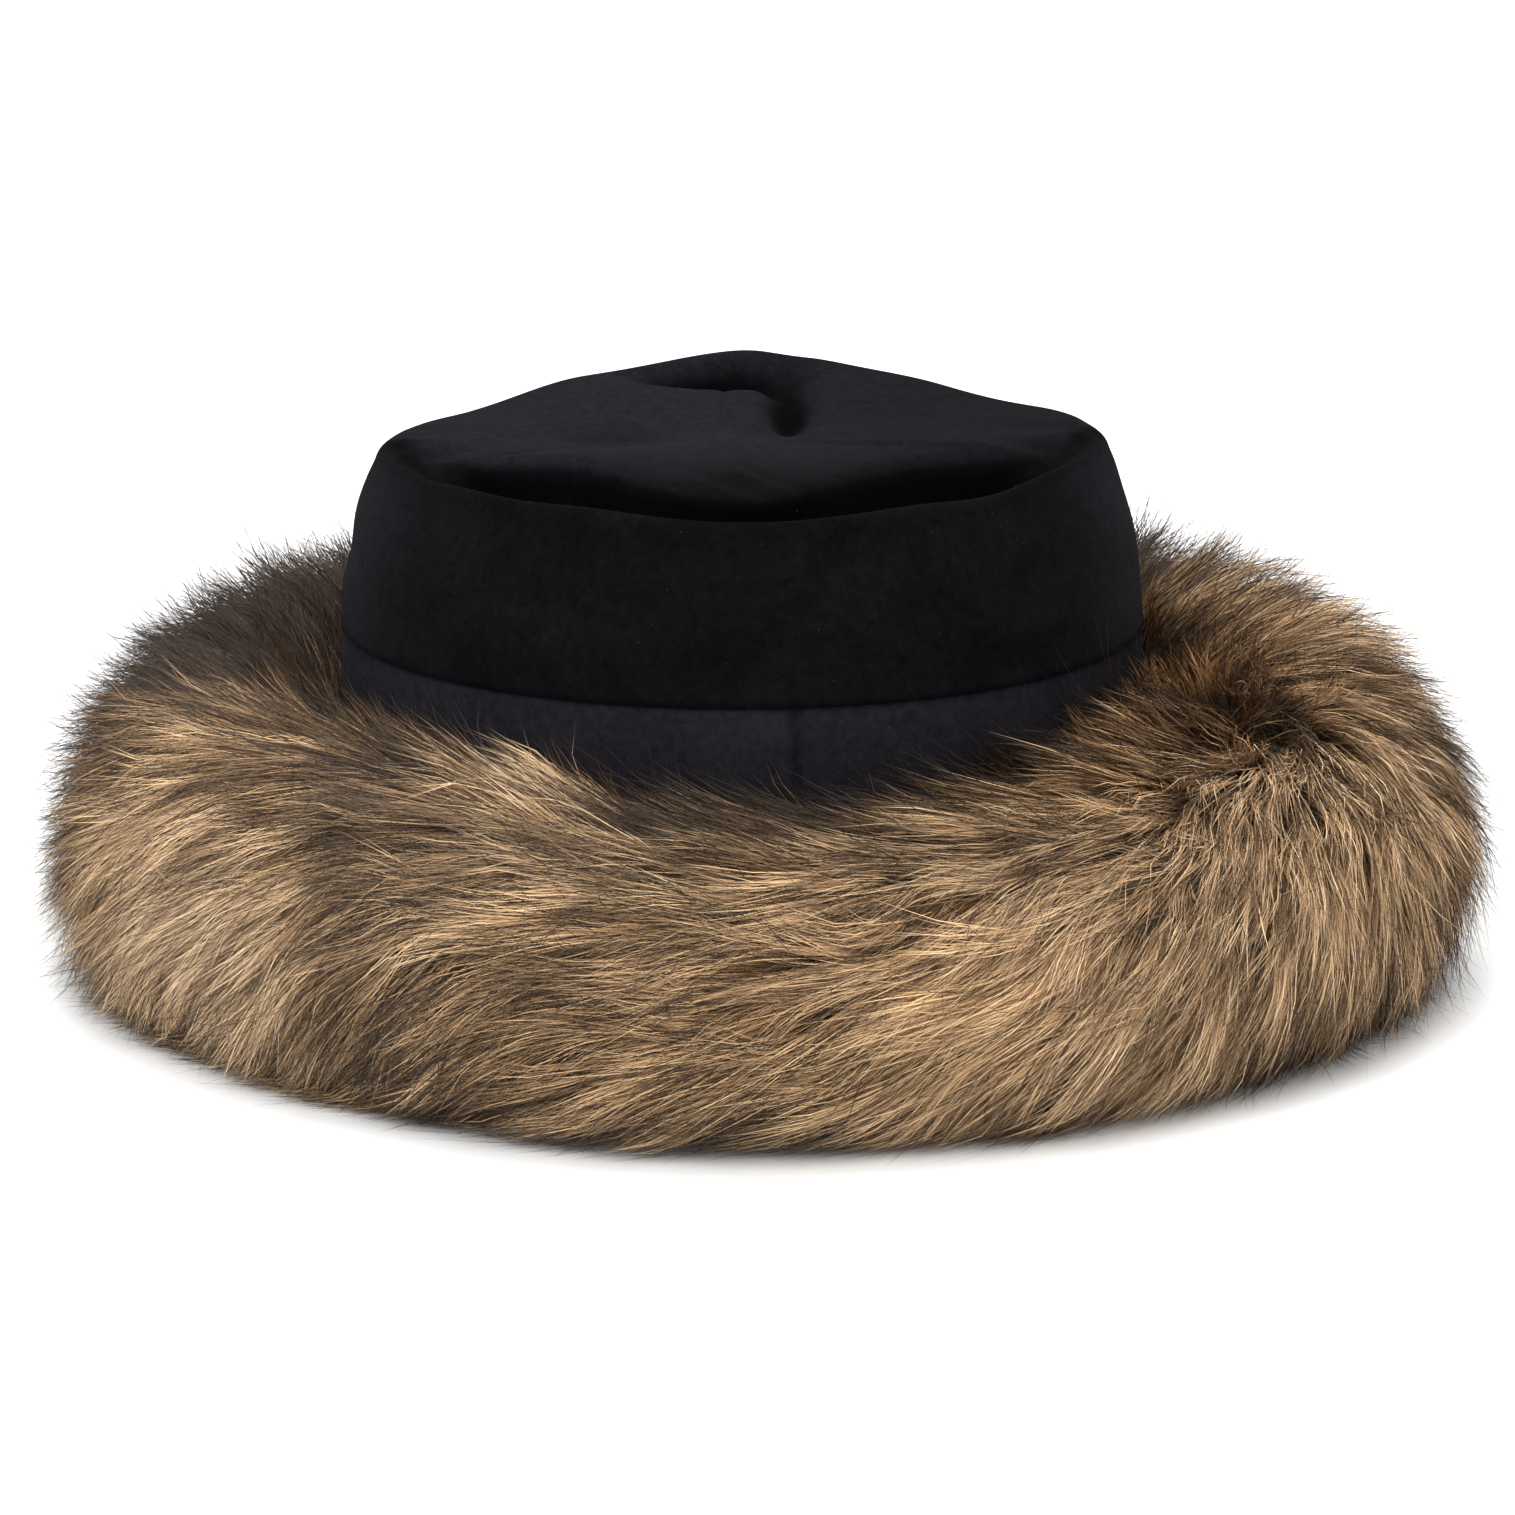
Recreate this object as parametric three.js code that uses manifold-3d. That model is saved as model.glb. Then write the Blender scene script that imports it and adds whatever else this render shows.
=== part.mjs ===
// A shtreimel-like hat: a soft velvet crown on a velvet head band, ringed by long-pile fur.
// Millimetres, +Z up. The hat lies on Z = 0 with its front towards -Y. Right is +X, as seen from the front.
// A bearing goes round it in degrees: 0 is the front, 90 the right side, 180 the back and 270 the left side.
import * as THREE from "three";
import { mergeVertices } from "three/addons/utils/BufferGeometryUtils.js";
import Module from "manifold-3d";

// Head band
const headWidth = 176; // inside the band, side to side
const headDepth = 190; // inside the band, front to back
const bandThickness = 1.8;
const bandFoot = 2; // from the surface up to the band's lower edge
const bandShowing = 16; // what shows between the fur and the crown
const bandTuck = 3; // what goes up inside the crown
const bandDraw = 0.7; // how far the band's top is drawn in

// Velvet crown
const crownThickness = 1.8;
const crownHeight = 39; // from the crown's lower edge up to the fold round its top
const cornerDraw = 9.6; // in from the crown's lower edge to the fold's corners at the two sides
const frontDraw = 12.3; // in from the crown's lower edge to the fold's front
const backDraw = 32.3; // in from the crown's lower edge to the ridge at the back
const ridgeRise = 12; // how far the ridge at the back is above the fold's corners
const plateauRise = 1.5; // how far the plateau at the axis is above the fold's corners
const pocketReach = 67; // from the fold's front back to the plateau's edge beside its nose
const pocketDepth = 19; // beside the nose, between the plateau and the fold
const creaseReach = 20; // from the fold's front back to the tip of the nose
const creaseDepth = 9; // ahead of the nose
const noseHalfWidth = 26;

// Fur ring
const furHeight = 66; // where the fur meets the band
const furFrontReach = 60; // from the band out to the widest fur, before its locks
const furRightReach = 72;
const furBackReach = 74;
const furLeftReach = 60;
const lockLength = 64;
const lockWidth = 27;
const lockThickness = 8;
const lockLift = 6; // how far a lock's tip stands off the ring
const lockSmallest = 0.8; // the smallest lock's size as a share of the sizes above
const lockLargest = 1.15;
const lockStray = 12; // degrees that a lock may lie off the pile
const lockSeed = 7;

const sewingGap = 0.3; // between pieces that are sewn together
const grain = 0.01; // every corner lies on a grid of this, so that no two nearly meet

// The crown's wall from its lower edge to the fold. level is a share of its height, and draw is a share of
// the way from the lower edge's outline to the fold's.
const wallRows = [
  { level: 0, draw: 0 },
  { level: 0.08, draw: 0.01 },
  { level: 0.27, draw: 0.29 },
  { level: 0.6, draw: 0.58 },
  { level: 0.92, draw: 0.85 },
  { level: 1, draw: 1 },
];

// The crown's top from the fold inwards to the plateau's edge. inwards is a share of that way, and drop is a
// share of how deep the pocket is there.
const pocketRows = [
  { inwards: 0.1, drop: 0.03 },
  { inwards: 0.24, drop: 0.4 },
  { inwards: 0.42, drop: 0.84 },
  { inwards: 0.62, drop: 1 },
  { inwards: 0.78, drop: 0.8 },
  { inwards: 0.9, drop: 0.32 },
  { inwards: 1, drop: 0 },
];

// Dents in the crown's plateau. across and along are shares of half the fold's width and of its front, from
// the axis to the right and backwards. So are halfWidth and halfDepth, and drop is a share of pocketDepth.
const dentRows = [
  { name: "back dimple", across: -0.05, along: 0.52, halfWidth: 0.22, halfDepth: 0.12, drop: 0.45 },
  { name: "dimple flank", across: 0.18, along: 0.28, halfWidth: 0.09, halfDepth: 0.32, drop: 0.3 },
  { name: "left hollow", across: -0.36, along: 0.02, halfWidth: 0.14, halfDepth: 0.12, drop: 0.1 },
  { name: "left pucker", across: -0.84, along: -0.1, halfWidth: 0.05, halfDepth: 0.14, drop: 0.25 },
  { name: "right pucker", across: 0.84, along: -0.1, halfWidth: 0.05, halfDepth: 0.14, drop: 0.3 },
];

// The fur ring's cross-section, from the band over its crest to the surface that it lies on. out is a share
// of the reach, and up a share of the fur's height.
const furSectionRows = [
  { place: "at the band", out: 0, up: 1 },
  { place: "crest", out: 0.34, up: 1.04 },
  { place: "shoulder", out: 0.7, up: 0.95 },
  { place: "brow", out: 0.93, up: 0.7 },
  { place: "widest", out: 1, up: 0.42 },
  { place: "skirt", out: 0.94, up: 0.16 },
  { place: "foot", out: 0.8, up: 0 },
];

// The fur round the hat. reach is that of the ring, height is a share of the fur's height, and sweep is the
// angle that the pile is combed off straight outwards: 90 degrees is along the ring, towards higher bearings.
const furRows = [
  { bearing: 0, reach: furFrontReach, height: 0.96, sweep: -72 },
  { bearing: 45, reach: 0.86 * furRightReach, height: 1.03, sweep: -52 },
  { bearing: 90, reach: furRightReach, height: 1.12, sweep: -15 },
  { bearing: 135, reach: 1.05 * furBackReach, height: 1.17, sweep: 10 },
  { bearing: 180, reach: furBackReach, height: 1.13, sweep: 0 },
  { bearing: 225, reach: 0.96 * furBackReach, height: 1.13, sweep: -10 },
  { bearing: 270, reach: furLeftReach, height: 1.03, sweep: -10 },
  { bearing: 315, reach: 0.87 * furFrontReach, height: 1.05, sweep: -48 },
];

// Rows of locks round the ring. run is a share of the way along its section, and count is the locks in a row.
const lockRows = [
  { run: 0.08, count: 13 },
  { run: 0.25, count: 16 },
  { run: 0.42, count: 18 },
  { run: 0.6, count: 18 },
  { run: 0.78, count: 18 },
];

// A lock from its root to its tip. width and thickness are shares of the lock's own, and lift is a share of
// lockLift, below the ring's surface where it is negative.
const lockStations = [
  { along: 0, width: 0, thickness: 0, lift: -1 },
  { along: 0.27, width: 1, thickness: 1, lift: 0 },
  { along: 0.62, width: 0.62, thickness: 0.7, lift: 0.5 },
  { along: 1, width: 0, thickness: 0, lift: 1 },
];

const crownColumns = 60;
const plateauRings = [0.88, 0.72, 0.55, 0.37, 0.18]; // shares of the way from the axis to the plateau's edge
const edgeDraw = 0.9; // the plateau's edge is drawn in to this share of the fold's outline
const furColumns = 40;
const furSteps = 9;

const bandHalfWidth = headWidth / 2 + bandThickness;
const bandHalfDepth = headDepth / 2 + bandThickness;
const furHalfWidth = bandHalfWidth + sewingGap;
const furHalfDepth = bandHalfDepth + sewingGap;
const crownFoot = furHeight + bandShowing;
const crownInset = crownThickness + sewingGap - bandDraw;
const footHalfWidth = bandHalfWidth + crownInset;
const footHalfDepth = bandHalfDepth + crownInset;
const foldHalfWidth = footHalfWidth - cornerDraw;
const foldFront = footHalfDepth - frontDraw;
const foldBack = footHalfDepth - backDraw;
const foldHeight = crownFoot + crownHeight;

const { clamp, degToRad, lerp, seededRandom, smoothstep } = THREE.MathUtils;
const wasm = await Module();
wasm.setup();

// Angles round the hat from its front, and a point and a ring of points on an oval about its axis.
const turnsOf = (columns) => [...Array(columns).keys()].map((column) => (column / columns) * 2 * Math.PI);
const onOval = (turn, halfWidth, halfDepth, z) =>
  new THREE.Vector3(halfWidth * Math.sin(turn), -halfDepth * Math.cos(turn), z);
const ovalRing = (halfWidth, halfDepth, z) =>
  turnsOf(crownColumns).map((turn) => onOval(turn, halfWidth, halfDepth, z));

// The share of foldFront or foldBack that the fold's outline keeps at a share of its half width.
const frontShare = (side) => lerp(1 - side ** 2.7, Math.sqrt(1 - side ** 2), 0.12);
const backShare = (side) => lerp(1 - side ** 2, Math.sqrt(1 - side ** 2), 0.3);

// The fold round the crown's top: nearly pointed at the two sides, and highest at the back.
function foldPoint(turn) {
  const side = Math.min(Math.abs(Math.sin(turn)), 1);
  const forwards = Math.cos(turn) > 0;
  const y = forwards ? -foldFront * frontShare(side) : foldBack * backShare(side);
  const rise = forwards ? 0 : ridgeRise * (1 - side ** 1.45);
  return new THREE.Vector3(foldHalfWidth * Math.sin(turn), y, foldHeight + rise);
}

function wallPoint(turn, row) {
  const foot = onOval(turn, footHalfWidth, footHalfDepth, crownFoot);
  const fold = foldPoint(turn);
  const point = foot.clone().lerp(fold, row.draw);
  point.z = lerp(foot.z, fold.z, row.level);
  return point;
}

// The plateau's edge, with its nose at the front, and how deep the pocket between it and the fold is.
function plateauEdge(turn) {
  const fold = foldPoint(turn);
  const x = edgeDraw * fold.x;
  const side = Math.min(Math.abs(Math.sin(turn)), 1);
  if (Math.cos(turn) <= 0) return { x, y: edgeDraw * fold.y, depth: 0 };
  const nose = Math.exp(-(Math.abs(x / noseHalfWidth) ** 2.4));
  const forward = foldFront - lerp(pocketReach, creaseReach, nose);
  return {
    x,
    y: -forward * smoothstep(1 - side, 0, 0.12),
    depth: lerp(pocketDepth, creaseDepth, nose) * smoothstep(1 - side, 0.01, 0.25),
  };
}

// How deep one dent is at a place on the plateau.
function dentDrop(dent, x, y) {
  const across = (x / foldHalfWidth - dent.across) / dent.halfWidth;
  const along = (y / foldFront - dent.along) / dent.halfDepth;
  return dent.drop * pocketDepth * Math.exp(-(across ** 2) - along ** 2);
}

// A point of the crown's top. inwards is 0 at the fold and 1 at the plateau's edge, and ring is 1 at that
// edge and 0 at the axis.
function topPoint(turn, inwards, drop, ring) {
  const fold = foldPoint(turn);
  const edge = plateauEdge(turn);
  const x = ring * lerp(fold.x, edge.x, inwards);
  const y = ring * lerp(fold.y, edge.y, inwards);
  const share = Math.hypot(x, y) / Math.hypot(fold.x, fold.y);
  const smooth = lerp(foldHeight + plateauRise, fold.z, share ** 1.4);
  const dents = dentRows.reduce((sum, dent) => sum + dentDrop(dent, x, y), 0);
  const z = smooth - edge.depth * drop - dents * smoothstep(1 - share, 0.01, 0.08);
  return new THREE.Vector3(x, y, z);
}

// The faces of a strip between two rings of points, and of a fan from a ring to one point.
function stripFaces(columns, low, high) {
  return [...Array(columns).keys()].flatMap((c) => {
    const next = (c + 1) % columns;
    return [[low + c, low + next, high + next], [low + c, high + next, high + c]];
  });
}

function fanFaces(columns, ring, point) {
  return [...Array(columns).keys()].map((c) => [ring + c, ring + ((c + 1) % columns), point]);
}

// A closed shell from rings of points that run from an open edge upwards. The rings end in another open edge,
// or in one point, and the shell's other face is thickness further in, along the surface's own normals.
function shellOf(rings, apex, thickness) {
  const columns = rings[0].length;
  const last = (rings.length - 1) * columns;
  const outer = rings.flat().concat(apex ? [apex] : []);
  const faces = rings.slice(1).flatMap((_, r) => stripFaces(columns, r * columns, (r + 1) * columns));
  if (apex) faces.push(...fanFaces(columns, last, outer.length - 1));

  const skin = new THREE.BufferGeometry().setFromPoints(outer);
  skin.setIndex(faces.flat());
  skin.computeVertexNormals();
  const normals = skin.getAttribute("normal");
  const inner = outer.map((point, i) => {
    const normal = new THREE.Vector3().fromBufferAttribute(normals, i);
    return point.clone().addScaledVector(normal, -thickness);
  });
  const count = outer.length;
  const lining = faces.map(([a, b, c]) => [a + count, c + count, b + count]);
  const hem = stripFaces(columns, count, 0);
  const topHem = apex ? [] : stripFaces(columns, last, last + count);
  const shell = new THREE.BufferGeometry().setFromPoints(outer.concat(inner));
  shell.setIndex([...faces, ...lining, ...hem, ...topHem].flat());
  return shell;
}

function crownGeometry() {
  const turns = turnsOf(crownColumns);
  const wall = wallRows.map((row) => turns.map((turn) => wallPoint(turn, row)));
  const pocket = pocketRows.map(({ inwards, drop }) => turns.map((turn) => topPoint(turn, inwards, drop, 1)));
  const plateau = plateauRings.map((ring) => turns.map((turn) => topPoint(turn, 1, 0, ring)));
  return shellOf([...wall, ...pocket, ...plateau], topPoint(0, 1, 0, 0), crownThickness);
}

function bandGeometry() {
  const levels = [
    { z: bandFoot, draw: 0 },
    { z: furHeight, draw: 0 },
    { z: crownFoot, draw: bandDraw },
    { z: crownFoot + bandTuck, draw: 1.5 * bandDraw },
  ];
  const rings = levels.map(({ z, draw }) => ovalRing(bandHalfWidth - draw, bandHalfDepth - draw, z));
  return shellOf(rings, null, bandThickness);
}

// A column of furRows at any angle, eased from row to row.
function furAt(turn, column) {
  const lap = turn / (2 * Math.PI);
  const place = (lap - Math.floor(lap)) * furRows.length;
  const row = Math.floor(place) % furRows.length;
  const next = (row + 1) % furRows.length;
  return lerp(furRows[row][column], furRows[next][column], smoothstep(place - row, 0, 1));
}

const furSection = new THREE.SplineCurve(furSectionRows.map(({ out, up }) => new THREE.Vector2(out, up)));

// A point on the fur ring without its locks. run is 0 at the band and 1 at the foot.
function furPoint(turn, run) {
  const { x: out, y: up } = furSection.getPointAt(clamp(run, 0, 1));
  const point = onOval(turn, furHalfWidth, furHalfDepth, furHeight * furAt(turn, "height") * up);
  return point.addScaledVector(onOval(turn, 1, 1, 0), furAt(turn, "reach") * out);
}

function furNormal(turn, run) {
  const step = 0.01;
  const round = furPoint(turn + step, run).sub(furPoint(turn - step, run));
  const over = furPoint(turn, Math.min(run + step, 1)).sub(furPoint(turn, Math.max(run - step, 0)));
  return over.cross(round).normalize();
}

// The ring without its locks: its cross-section at each column, closed along the band and underneath.
function furCore() {
  const sections = turnsOf(furColumns).map((turn) => {
    const over = [...Array(furSteps + 1).keys()].map((step) => furPoint(turn, step / furSteps));
    return [...over, onOval(turn, furHalfWidth, furHalfDepth, 0)];
  });
  const size = sections[0].length;
  const faces = sections.flatMap((_, c) => stripFaces(size, c * size, ((c + 1) % furColumns) * size));
  const core = new THREE.BufferGeometry().setFromPoints(sections.flat());
  core.setIndex(faces.flat());
  return core;
}

// One lock of fur: a flat tuft that tapers both ways and lies along the pile, with its root in the ring.
function lockGeometry(turn, run, size, stray) {
  const sweep = degToRad(furAt(turn, "sweep") + stray);
  const radius = furPoint(turn, run).setZ(0).length();
  const section = furHeight * furSection.getLength();
  const place = (along, lift) => {
    const travel = lockLength * size * along;
    const t = turn + (travel * Math.sin(sweep)) / radius;
    const r = run + (travel * Math.cos(sweep)) / section;
    const normal = furNormal(t, clamp(r, 0.02, 0.98));
    const past = Math.max(0, r - 1) * section;
    return { spine: furPoint(t, r).addScaledVector(normal, lockLift * size * lift + past * 0.4), normal };
  };
  const stations = lockStations.map(({ along, width, thickness, lift }) => {
    const { spine, normal } = place(along, lift);
    if (!width) return [spine];
    const ahead = place(along + 0.05, lift).spine.sub(spine).normalize();
    const across = new THREE.Vector3().crossVectors(normal, ahead).normalize();
    const halfWidth = (lockWidth * size * width) / 2;
    const halfThickness = (lockThickness * size * thickness) / 2;
    return [
      spine.clone().addScaledVector(across, -halfWidth),
      spine.clone().addScaledVector(normal, -halfThickness),
      spine.clone().addScaledVector(across, halfWidth),
      spine.clone().addScaledVector(normal, halfThickness),
    ];
  });
  const points = stations.flat();
  const root = fanFaces(4, 1, 0).map(([a, b, c]) => [b, a, c]);
  const faces = [...root, ...stripFaces(4, 1, 5), ...fanFaces(4, 5, points.length - 1)];
  const lock = new THREE.BufferGeometry().setFromPoints(points);
  lock.setIndex(faces.flat());
  return lock;
}

function solidOf(geometry) {
  const bare = geometry.clone();
  bare.deleteAttribute("normal");
  bare.deleteAttribute("uv");
  const corners = bare.getAttribute("position");
  corners.array.forEach((value, i) => {
    corners.array[i] = Math.round(value / grain) * grain;
  });
  const merged = mergeVertices(bare, grain / 10);
  return new wasm.Manifold(
    new wasm.Mesh({
      numProp: 3,
      vertProperties: merged.getAttribute("position").array,
      triVerts: new Uint32Array(merged.index.array),
    }),
  );
}

function geometryOf(solid) {
  const { vertProperties, triVerts } = solid.getMesh();
  const geometry = new THREE.BufferGeometry();
  geometry.setAttribute("position", new THREE.BufferAttribute(vertProperties, 3));
  geometry.setIndex(new THREE.BufferAttribute(triVerts, 1));
  geometry.computeVertexNormals();
  return geometry;
}

// Two locks that only touch share a corner. Each one's own skin is drawn in a little there, to part them.
function partTouching(geometry) {
  const corners = geometry.getAttribute("position");
  const normals = geometry.getAttribute("normal");
  const cornerAt = (i) => new THREE.Vector3().fromBufferAttribute(corners, i);
  const sharers = new Map();
  for (let i = 0; i < corners.count; i++) {
    const place = cornerAt(i).toArray().join();
    sharers.set(place, [...(sharers.get(place) ?? []), i]);
  }
  const shared = [...sharers.values()].filter((sharing) => sharing.length > 1).flat();
  for (const i of shared) {
    const normal = new THREE.Vector3().fromBufferAttribute(normals, i);
    const corner = cornerAt(i).addScaledVector(normal, -3 * grain);
    corners.setXYZ(i, corner.x, corner.y, Math.max(corner.z, 0));
  }
  return geometry;
}

// The room that the fur may take: above the surface that it lies on, and outside the head band.
function furRoom() {
  const most = 4 * (headDepth + furFrontReach);
  const room = new THREE.BoxGeometry(most, most, most).translate(0, 0, most / 2);
  const rings = [-most, 2 * most].map((z) => ovalRing(furHalfWidth, furHalfDepth, z));
  const ends = rings.map((ring) => new THREE.Vector3(0, 0, ring[0].z));
  const [foot, top] = rings.map((_, i) => fanFaces(crownColumns, i * crownColumns, 2 * crownColumns + i));
  const side = stripFaces(crownColumns, 0, crownColumns);
  const head = new THREE.BufferGeometry().setFromPoints([...rings.flat(), ...ends]);
  head.setIndex([...side, ...foot.map(([a, b, c]) => [b, a, c]), ...top].flat());
  return solidOf(room).subtract(solidOf(head));
}

// The outermost skin of a solid: locks that lie across each other can close a hollow between them.
function outerSkin(solid) {
  return solid.decompose().reduce((most, skin) => (skin.volume() > most.volume() ? skin : most));
}

function furGeometry() {
  seededRandom(lockSeed);
  const stray = (most) => most * (2 * seededRandom() - 1);
  let fur = solidOf(furCore());
  lockRows.forEach(({ run, count }, row) => {
    const spacing = (2 * Math.PI) / count;
    turnsOf(count).forEach((turn) => {
      const place = turn + spacing * (0.5 * (row % 2) + stray(0.25));
      const size = lerp(lockSmallest, lockLargest, seededRandom());
      fur = fur.add(solidOf(lockGeometry(place, run + stray(0.025), size, stray(lockStray))));
    });
  });
  return geometryOf(outerSkin(fur.intersect(furRoom())));
}

const shapes = { crown: crownGeometry(), head_band: bandGeometry(), fur_ring: furGeometry() };
const cloths = {
  crown: new THREE.MeshStandardMaterial({ color: 0x17161b, roughness: 0.95, metalness: 0 }),
  head_band: new THREE.MeshStandardMaterial({ color: 0x1f1e28, roughness: 0.95, metalness: 0 }),
  fur_ring: new THREE.MeshStandardMaterial({ color: 0x9c7a52, roughness: 0.9, metalness: 0 }),
};

// The fur reaches further on one side. The pieces are moved to have the middle of its spread at the origin.
shapes.fur_ring.computeBoundingBox();
const middle = shapes.fur_ring.boundingBox.getCenter(new THREE.Vector3());

const hat = new THREE.Group();
for (const [name, shape] of Object.entries(shapes)) {
  shape.translate(-middle.x, -middle.y, 0);
  const piece = new THREE.Mesh(partTouching(geometryOf(outerSkin(solidOf(shape)))), cloths[name]);
  piece.name = name;
  hat.add(piece);
}

export default hat;
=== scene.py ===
# A fur hat's looks: velvet crown, velvet band and long-pile fur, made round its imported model
from math import atan2, cos, pi, radians, sin

import bpy
import numpy as np
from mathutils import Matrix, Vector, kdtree


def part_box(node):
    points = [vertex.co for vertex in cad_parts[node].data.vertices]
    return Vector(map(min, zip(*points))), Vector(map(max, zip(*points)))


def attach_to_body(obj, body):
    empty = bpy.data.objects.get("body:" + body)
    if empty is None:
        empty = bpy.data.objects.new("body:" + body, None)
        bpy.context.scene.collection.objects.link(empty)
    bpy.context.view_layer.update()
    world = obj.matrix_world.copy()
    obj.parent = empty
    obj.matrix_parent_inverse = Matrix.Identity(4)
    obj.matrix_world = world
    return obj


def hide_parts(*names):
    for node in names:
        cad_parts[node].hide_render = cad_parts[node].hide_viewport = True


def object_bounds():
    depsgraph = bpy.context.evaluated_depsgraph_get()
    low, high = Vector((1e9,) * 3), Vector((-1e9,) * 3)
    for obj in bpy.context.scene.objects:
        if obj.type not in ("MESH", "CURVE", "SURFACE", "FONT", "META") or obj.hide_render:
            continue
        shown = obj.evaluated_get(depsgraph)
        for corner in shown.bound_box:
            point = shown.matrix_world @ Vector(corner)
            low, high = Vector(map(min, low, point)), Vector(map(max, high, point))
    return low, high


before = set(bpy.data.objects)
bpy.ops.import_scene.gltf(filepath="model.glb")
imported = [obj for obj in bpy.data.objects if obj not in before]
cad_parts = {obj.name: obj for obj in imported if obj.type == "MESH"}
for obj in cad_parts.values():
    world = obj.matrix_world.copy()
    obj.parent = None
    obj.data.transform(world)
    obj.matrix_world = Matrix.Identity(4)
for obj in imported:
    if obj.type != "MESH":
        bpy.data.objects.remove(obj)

# Sizes are in millimetres up to mesh_from, which writes metres. A bearing goes round the hat in degrees:
# 0 is the front, 90 the right side, 180 the back and 270 the left side. The hat's axis is the crown's middle.
MM = 0.001
cad_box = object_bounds()
crown_low, crown_high = (np.array(corner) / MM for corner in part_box("crown"))
band_low, band_high = (np.array(corner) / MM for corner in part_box("head_band"))
AXIS = (crown_low + crown_high) / 2 * (1, 1, 0)

# Head band and crown, as in the part
BAND_HALF_WIDTH, BAND_HALF_DEPTH = ((band_high - band_low) / 2)[:2]
BAND_FOOT, BAND_TOP = band_low[2], band_high[2]
BAND_TUCK = 3.0  # how far the band goes up inside the crown
BAND_DRAW = 0.7  # how far the band leans in at the crown's lower edge
CLOTH = 1.8  # the velvet's thickness
FOOT_HALF_WIDTH, FOOT_HALF_DEPTH = ((crown_high - crown_low) / 2)[:2]
CROWN_FOOT = BAND_TOP - BAND_TUCK
CROWN_HEIGHT = 39.0  # from its lower edge up to the fold at the front
RIDGE_RISE = 12.0  # how much higher the fold is at the back
PLATEAU_RISE = 1.5  # how far the plateau's middle stands above the fold
CORNER_DRAW = 9.6  # how far the fold lies inside the lower edge at the sides
FRONT_DRAW = 12.3  # the same at the front
BACK_DRAW = 32.3  # and at the back
POCKET_REACH, POCKET_DEPTH = 67.0, 19.0  # the two pockets behind the front fold
CREASE_REACH, CREASE_DEPTH = 20.0, 9.0  # the crease between them, ahead of the nose
NOSE_HALF_WIDTH = 26.0
EDGE_DRAW = 0.9  # the plateau's outline as a share of the fold's
FOLD_HALF_WIDTH = FOOT_HALF_WIDTH - CORNER_DRAW
FOLD_FRONT = FOOT_HALF_DEPTH - FRONT_DRAW
FOLD_BACK = FOOT_HALF_DEPTH - BACK_DRAW
FOLD_HEIGHT = CROWN_FOOT + CROWN_HEIGHT
FOLD_ROLL = 6.0  # the radius of the rounded fold
HEM_DRAW = 1.6  # how far the crown's lower edge is sewn in towards the band
LEFT_CORNER_RISE, RIGHT_CORNER_RISE = 1.5, 4.0  # how far the fold stands up at the crown's two corners

# The crown's wall from its lower edge to the fold, and its pockets from the fold to the plateau's edge
WALL = {"level": (0, 0.25, 0.5, 0.75, 0.92, 1), "draw": (0, 0.2, 0.4, 0.62, 0.84, 1)}
POCKET = {
    "inwards": (0, 0.1, 0.24, 0.42, 0.62, 0.78, 0.9, 1),
    "drop": (0, 0.03, 0.4, 0.84, 1, 0.8, 0.32, 0),
}
# Painted light and shade on the velvet, from 0 to 1: over a pocket, and on the wall. The pockets are painted
# dark as shade and the plateau light as if lit from above.
PAINTED_LIGHT = {"inwards": (0, 0.1, 0.28, 0.93, 1), "light": (0.3, 0.2, 0.08, 0.1, 1.0)}
WALL_PAINTED_LIGHT = 0.4

# Dents in the plateau. across and half_width are shares of half the fold's width, along and half_depth are
# shares of the fold's front, and drop is a share of the pockets' depth.
DENTS = {
    "back dimple": {"across": -0.07, "along": 0.6, "half_width": 0.2, "half_depth": 0.07, "drop": 0.6},
    "dimple flank": {"across": 0.13, "along": 0.36, "half_width": 0.05, "half_depth": 0.27, "drop": 0.45},
    "left hollow": {"across": -0.36, "along": 0.02, "half_width": 0.14, "half_depth": 0.12, "drop": 0.1},
    "left pucker": {"across": -0.84, "along": -0.16, "half_width": 0.07, "half_depth": 0.07, "drop": 0.12},
    "right pucker": {"across": 0.82, "along": -0.18, "half_width": 0.07, "half_depth": 0.07, "drop": 0.13},
}
TOP_SEAM_X = -4.0  # the plateau's seam, from the dimple forwards
TOP_SEAM_FRONT, TOP_SEAM_BACK = 8.0, 44.0
SEAM_DEPTH = 0.7
SEAM_HALF_WIDTH = 1.3
BAND_SEAM_X = 11.6  # the band's seam at its front

# Fur ring, as in the part
FUR_HEIGHT = 66.0
FUR_INNER_WIDTH = BAND_HALF_WIDTH + 0.3
FUR_INNER_DEPTH = BAND_HALF_DEPTH + 0.3
FUR_SECTION = {"out": (0, 0.34, 0.7, 0.93, 1, 0.94, 0.8), "up": (1, 1.04, 0.95, 0.7, 0.42, 0.16, 0)}
FUR_ROUND = {
    "reach": (60, 61.9, 72, 77.7, 74, 71, 60, 52.2),
    "height": (0.96, 1.03, 1.12, 1.17, 1.13, 1.13, 1.03, 1.05),
}
# The angle that the pile is combed off straight outwards, at the same eight bearings: at the band, on the
# shoulder, on the brow and at the foot. 90 degrees is along the ring, towards higher bearings.
PILE_RUNS = (0.0, 0.35, 0.65, 1.0)
PILE_SWEEPS = (
    (-88, -98, -66, 0, 0, -5, -20, -66),
    (-79, -74, -38, 4, 0, -8, -14, -60),
    (-76, -58, -24, 4, 0, -8, -12, -58),
    (-74, -48, -14, 4, 0, -6, -10, -54),
)
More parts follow.
